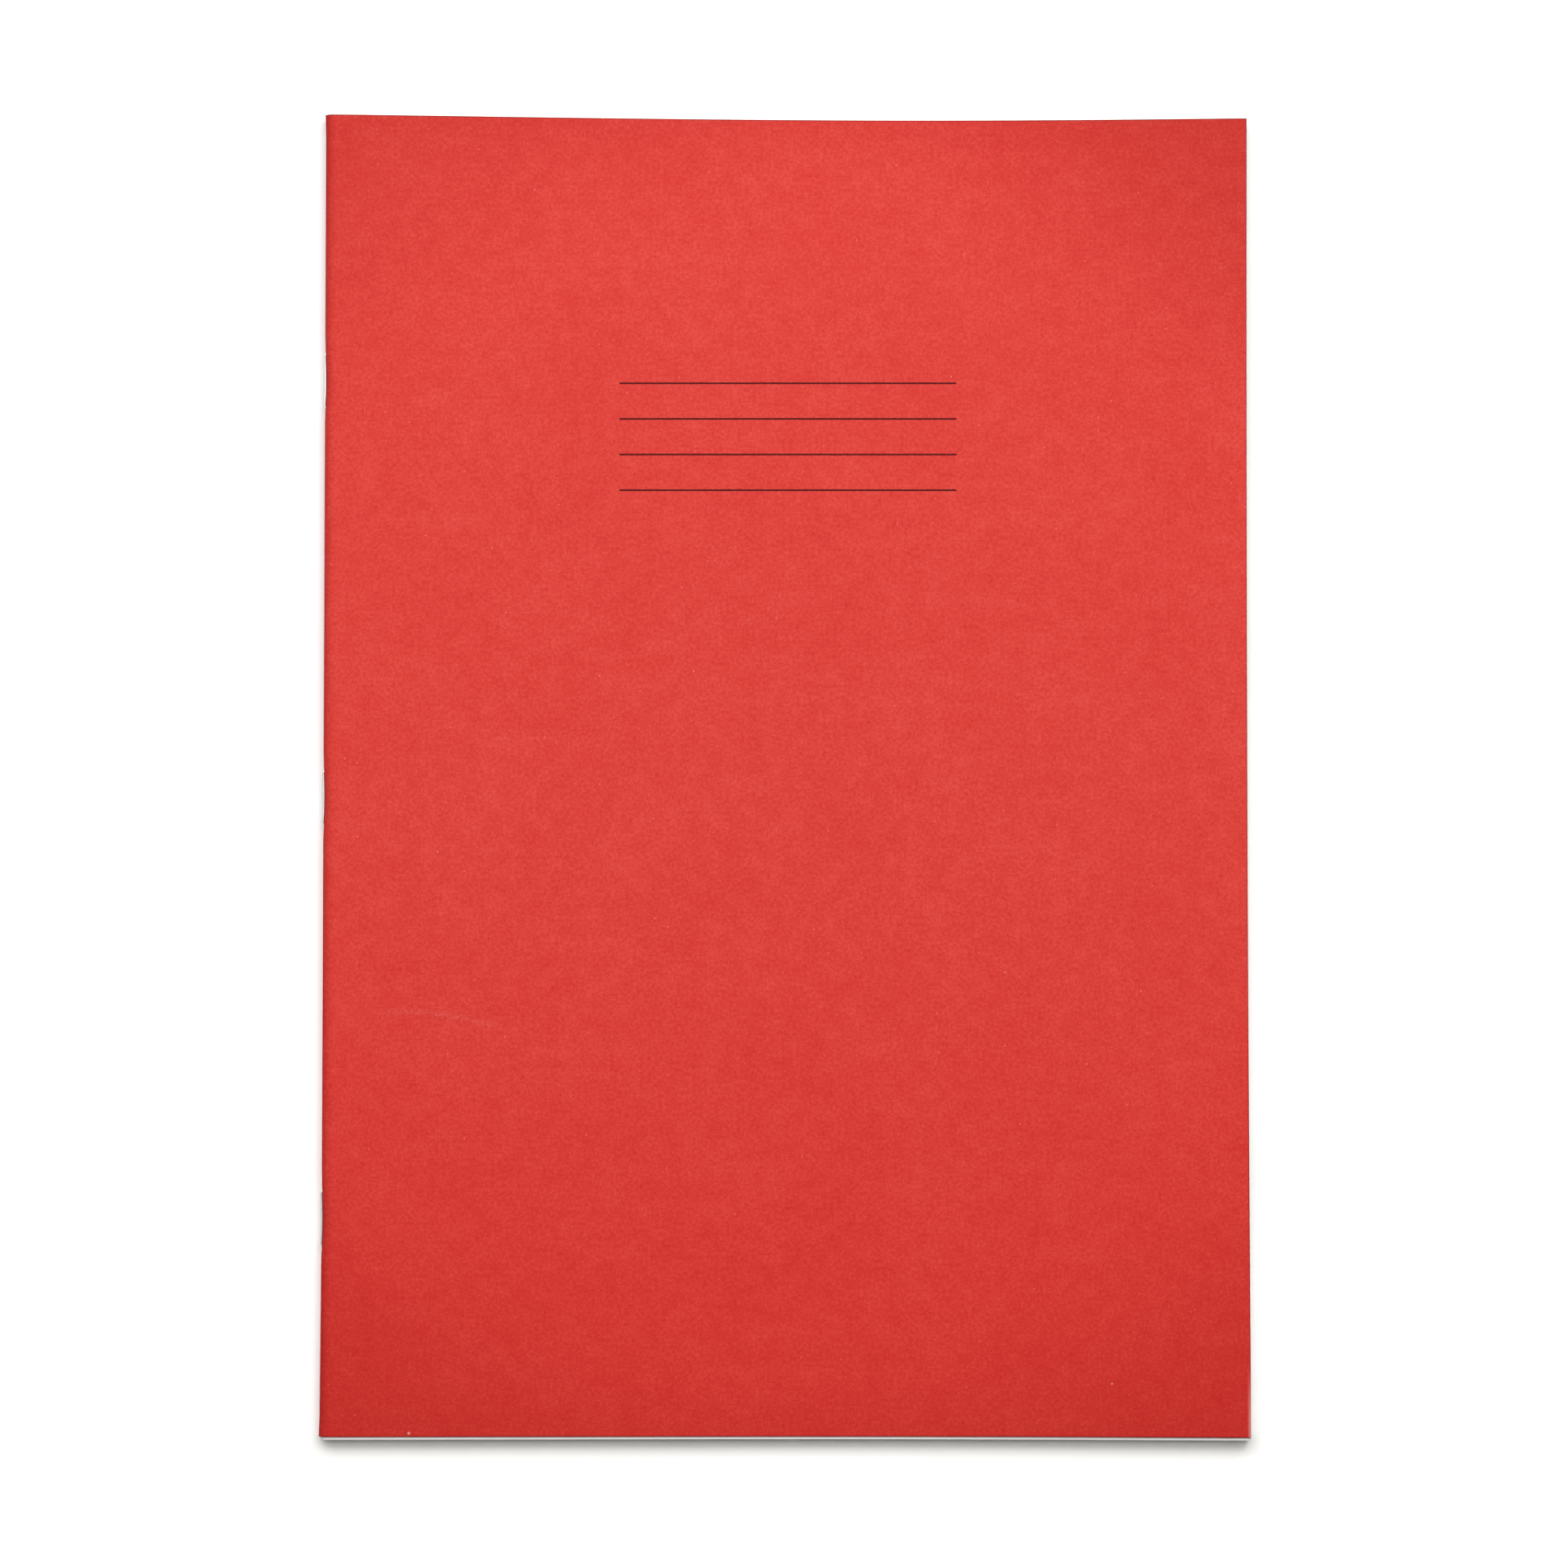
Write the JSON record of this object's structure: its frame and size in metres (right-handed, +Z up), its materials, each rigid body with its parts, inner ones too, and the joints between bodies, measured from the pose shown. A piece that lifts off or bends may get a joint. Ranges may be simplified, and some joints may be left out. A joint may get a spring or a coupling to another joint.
{
  "type": "stapled exercise book",
  "caption": "Thin stapled exercise book with a folded red card cover, nested ruled sheets and wire staples through the spine; the cover turns and it opens flat at the centre spread.",
  "frame": {"origin": "middle of the underside of the closed book, on the surface that it lies on", "axes": "+X from the spine to the fore-edge, +Y to the head, +Z up out of the front cover"},
  "size_m": [0.2089, 0.297, 0.0037],
  "materials": {
    "cover_card": "matte uncoated red card with a fine fibre fleck",
    "page_paper": "smooth white writing paper with grey feint ruling",
    "staple_wire": "bright drawn steel wire"
  },
  "bodies": {
    "back_cover": {"cover_back": "cover_card"},
    "spine": {"cover_spine": "cover_card", "sheet_01_fold": "page_paper", "sheet_02_fold": "page_paper", "sheet_03_fold": "page_paper", "sheet_04_fold": "page_paper", "sheet_05_fold": "page_paper", "sheet_06_fold": "page_paper", "sheet_07_fold": "page_paper", "sheet_08_fold": "page_paper", "sheet_09_fold": "page_paper", "sheet_10_fold": "page_paper", "sheet_11_fold": "page_paper", "sheet_12_fold": "page_paper", "staple_head": "staple_wire", "staple_middle": "staple_wire", "staple_tail": "staple_wire"},
    "back_leaf_01": {"sheet_01_back_leaf": "page_paper"},
    "front_leaf_01": {"sheet_01_front_leaf": "page_paper"},
    "back_leaf_02": {"sheet_02_back_leaf": "page_paper"},
    "front_leaf_02": {"sheet_02_front_leaf": "page_paper"},
    "back_leaf_03": {"sheet_03_back_leaf": "page_paper"},
    "front_leaf_03": {"sheet_03_front_leaf": "page_paper"},
    "back_leaf_04": {"sheet_04_back_leaf": "page_paper"},
    "front_leaf_04": {"sheet_04_front_leaf": "page_paper"},
    "back_leaf_05": {"sheet_05_back_leaf": "page_paper"},
    "front_leaf_05": {"sheet_05_front_leaf": "page_paper"},
    "back_leaf_06": {"sheet_06_back_leaf": "page_paper"},
    "front_leaf_06": {"sheet_06_front_leaf": "page_paper"},
    "back_leaf_07": {"sheet_07_back_leaf": "page_paper"},
    "front_leaf_07": {"sheet_07_front_leaf": "page_paper"},
    "back_leaf_08": {"sheet_08_back_leaf": "page_paper"},
    "front_leaf_08": {"sheet_08_front_leaf": "page_paper"},
    "back_leaf_09": {"sheet_09_back_leaf": "page_paper"},
    "front_leaf_09": {"sheet_09_front_leaf": "page_paper"},
    "back_leaf_10": {"sheet_10_back_leaf": "page_paper"},
    "front_leaf_10": {"sheet_10_front_leaf": "page_paper"},
    "back_leaf_11": {"sheet_11_back_leaf": "page_paper"},
    "front_leaf_11": {"sheet_11_front_leaf": "page_paper"},
    "back_leaf_12": {"sheet_12_back_leaf": "page_paper"},
    "front_leaf_12": {"sheet_12_front_leaf": "page_paper"},
    "front_cover": {"cover_front": "cover_card"}
  },
  "joints": [
    {"name": "spine_roll", "type": "hinge", "parent": "back_cover", "child": "spine", "pos_m": [-0.10168, 0, 0.00187], "axis": [0, -1, 0], "range_deg": [0, 90]},
    {"name": "back_leaf_01_lift", "type": "hinge", "parent": "back_cover", "child": "back_leaf_01", "pos_m": [-0.10168, 0, 0.00187], "axis": [0, -1, 0], "range_deg": [0, 0.25]},
    {"name": "book_open", "type": "hinge", "parent": "back_leaf_01", "child": "front_leaf_01", "pos_m": [-0.10168, 0, 0.00187], "axis": [0, -1, 0], "range_deg": [0, 179.5], "deforming": ["cover_spine", "sheet_01_fold", "sheet_02_fold", "sheet_03_fold", "sheet_04_fold", "sheet_05_fold", "sheet_06_fold", "sheet_07_fold", "sheet_08_fold", "sheet_09_fold", "sheet_10_fold", "sheet_11_fold", "sheet_12_fold"]},
    {"name": "back_leaf_02_lift", "type": "hinge", "parent": "back_cover", "child": "back_leaf_02", "pos_m": [-0.10168, 0, 0.00187], "axis": [0, -1, 0], "range_deg": [0, 0.59091]},
    {"name": "front_leaf_02_turn", "type": "hinge", "parent": "back_leaf_02", "child": "front_leaf_02", "pos_m": [-0.10168, 0, 0.00187], "axis": [0, -1, 0], "range_deg": [0, 178.82]},
    {"name": "back_leaf_03_lift", "type": "hinge", "parent": "back_cover", "child": "back_leaf_03", "pos_m": [-0.10168, 0, 0.00187], "axis": [0, -1, 0], "range_deg": [0, 0.93182]},
    {"name": "front_leaf_03_turn", "type": "hinge", "parent": "back_leaf_03", "child": "front_leaf_03", "pos_m": [-0.10168, 0, 0.00187], "axis": [0, -1, 0], "range_deg": [0, 178.14]},
    {"name": "back_leaf_04_lift", "type": "hinge", "parent": "back_cover", "child": "back_leaf_04", "pos_m": [-0.10168, 0, 0.00187], "axis": [0, -1, 0], "range_deg": [0, 1.27]},
    {"name": "front_leaf_04_turn", "type": "hinge", "parent": "back_leaf_04", "child": "front_leaf_04", "pos_m": [-0.10168, 0, 0.00187], "axis": [0, -1, 0], "range_deg": [0, 177.45]},
    {"name": "back_leaf_05_lift", "type": "hinge", "parent": "back_cover", "child": "back_leaf_05", "pos_m": [-0.10168, 0, 0.00187], "axis": [0, -1, 0], "range_deg": [0, 1.61]},
    {"name": "front_leaf_05_turn", "type": "hinge", "parent": "back_leaf_05", "child": "front_leaf_05", "pos_m": [-0.10168, 0, 0.00187], "axis": [0, -1, 0], "range_deg": [0, 176.77]},
    {"name": "back_leaf_06_lift", "type": "hinge", "parent": "back_cover", "child": "back_leaf_06", "pos_m": [-0.10168, 0, 0.00187], "axis": [0, -1, 0], "range_deg": [0, 1.95]},
    {"name": "front_leaf_06_turn", "type": "hinge", "parent": "back_leaf_06", "child": "front_leaf_06", "pos_m": [-0.10168, 0, 0.00187], "axis": [0, -1, 0], "range_deg": [0, 176.09]},
    {"name": "back_leaf_07_lift", "type": "hinge", "parent": "back_cover", "child": "back_leaf_07", "pos_m": [-0.10168, 0, 0.00187], "axis": [0, -1, 0], "range_deg": [0, 2.3]},
    {"name": "front_leaf_07_turn", "type": "hinge", "parent": "back_leaf_07", "child": "front_leaf_07", "pos_m": [-0.10168, 0, 0.00187], "axis": [0, -1, 0], "range_deg": [0, 175.41]},
    {"name": "back_leaf_08_lift", "type": "hinge", "parent": "back_cover", "child": "back_leaf_08", "pos_m": [-0.10168, 0, 0.00187], "axis": [0, -1, 0], "range_deg": [0, 2.64]},
    {"name": "front_leaf_08_turn", "type": "hinge", "parent": "back_leaf_08", "child": "front_leaf_08", "pos_m": [-0.10168, 0, 0.00187], "axis": [0, -1, 0], "range_deg": [0, 174.73]},
    {"name": "back_leaf_09_lift", "type": "hinge", "parent": "back_cover", "child": "back_leaf_09", "pos_m": [-0.10168, 0, 0.00187], "axis": [0, -1, 0], "range_deg": [0, 2.98]},
    {"name": "front_leaf_09_turn", "type": "hinge", "parent": "back_leaf_09", "child": "front_leaf_09", "pos_m": [-0.10168, 0, 0.00187], "axis": [0, -1, 0], "range_deg": [0, 174.05]},
    {"name": "back_leaf_10_lift", "type": "hinge", "parent": "back_cover", "child": "back_leaf_10", "pos_m": [-0.10168, 0, 0.00187], "axis": [0, -1, 0], "range_deg": [0, 3.32]},
    {"name": "front_leaf_10_turn", "type": "hinge", "parent": "back_leaf_10", "child": "front_leaf_10", "pos_m": [-0.10168, 0, 0.00187], "axis": [0, -1, 0], "range_deg": [0, 173.36]},
    {"name": "back_leaf_11_lift", "type": "hinge", "parent": "back_cover", "child": "back_leaf_11", "pos_m": [-0.10168, 0, 0.00187], "axis": [0, -1, 0], "range_deg": [0, 3.66]},
    {"name": "front_leaf_11_turn", "type": "hinge", "parent": "back_leaf_11", "child": "front_leaf_11", "pos_m": [-0.10168, 0, 0.00187], "axis": [0, -1, 0], "range_deg": [0, 172.68]},
    {"name": "back_leaf_12_lift", "type": "hinge", "parent": "back_cover", "child": "back_leaf_12", "pos_m": [-0.10168, 0, 0.00187], "axis": [0, -1, 0], "range_deg": [0, 4]},
    {"name": "front_leaf_12_turn", "type": "hinge", "parent": "back_leaf_12", "child": "front_leaf_12", "pos_m": [-0.10168, 0, 0.00187], "axis": [0, -1, 0], "range_deg": [0, 172]},
    {"name": "cover_open", "type": "hinge", "parent": "front_leaf_01", "child": "front_cover", "pos_m": [-0.10128, 0, 0.00424], "axis": [0, -1, 0], "range_deg": [0, 179]}
  ],
  "couplings": [
    {"joint": "spine_roll", "follows": "book_open", "ratio": 0.50139},
    {"joint": "back_leaf_01_lift", "follows": "book_open", "ratio": 0.0013928},
    {"joint": "back_leaf_02_lift", "follows": "book_open", "ratio": 0.003292},
    {"joint": "front_leaf_02_turn", "follows": "book_open", "ratio": 0.9962},
    {"joint": "back_leaf_03_lift", "follows": "book_open", "ratio": 0.0051912},
    {"joint": "front_leaf_03_turn", "follows": "book_open", "ratio": 0.9924},
    {"joint": "back_leaf_04_lift", "follows": "book_open", "ratio": 0.0070904},
    {"joint": "front_leaf_04_turn", "follows": "book_open", "ratio": 0.9886},
    {"joint": "back_leaf_05_lift", "follows": "book_open", "ratio": 0.0089896},
    {"joint": "front_leaf_05_turn", "follows": "book_open", "ratio": 0.98481},
    {"joint": "back_leaf_06_lift", "follows": "book_open", "ratio": 0.010889},
    {"joint": "front_leaf_06_turn", "follows": "book_open", "ratio": 0.98101},
    {"joint": "back_leaf_07_lift", "follows": "book_open", "ratio": 0.012788},
    {"joint": "front_leaf_07_turn", "follows": "book_open", "ratio": 0.97721},
    {"joint": "back_leaf_08_lift", "follows": "book_open", "ratio": 0.014687},
    {"joint": "front_leaf_08_turn", "follows": "book_open", "ratio": 0.97341},
    {"joint": "back_leaf_09_lift", "follows": "book_open", "ratio": 0.016586},
    {"joint": "front_leaf_09_turn", "follows": "book_open", "ratio": 0.96961},
    {"joint": "back_leaf_10_lift", "follows": "book_open", "ratio": 0.018486},
    {"joint": "front_leaf_10_turn", "follows": "book_open", "ratio": 0.96581},
    {"joint": "back_leaf_11_lift", "follows": "book_open", "ratio": 0.020385},
    {"joint": "front_leaf_11_turn", "follows": "book_open", "ratio": 0.96202},
    {"joint": "back_leaf_12_lift", "follows": "book_open", "ratio": 0.022284},
    {"joint": "front_leaf_12_turn", "follows": "book_open", "ratio": 0.95822}
  ]
}
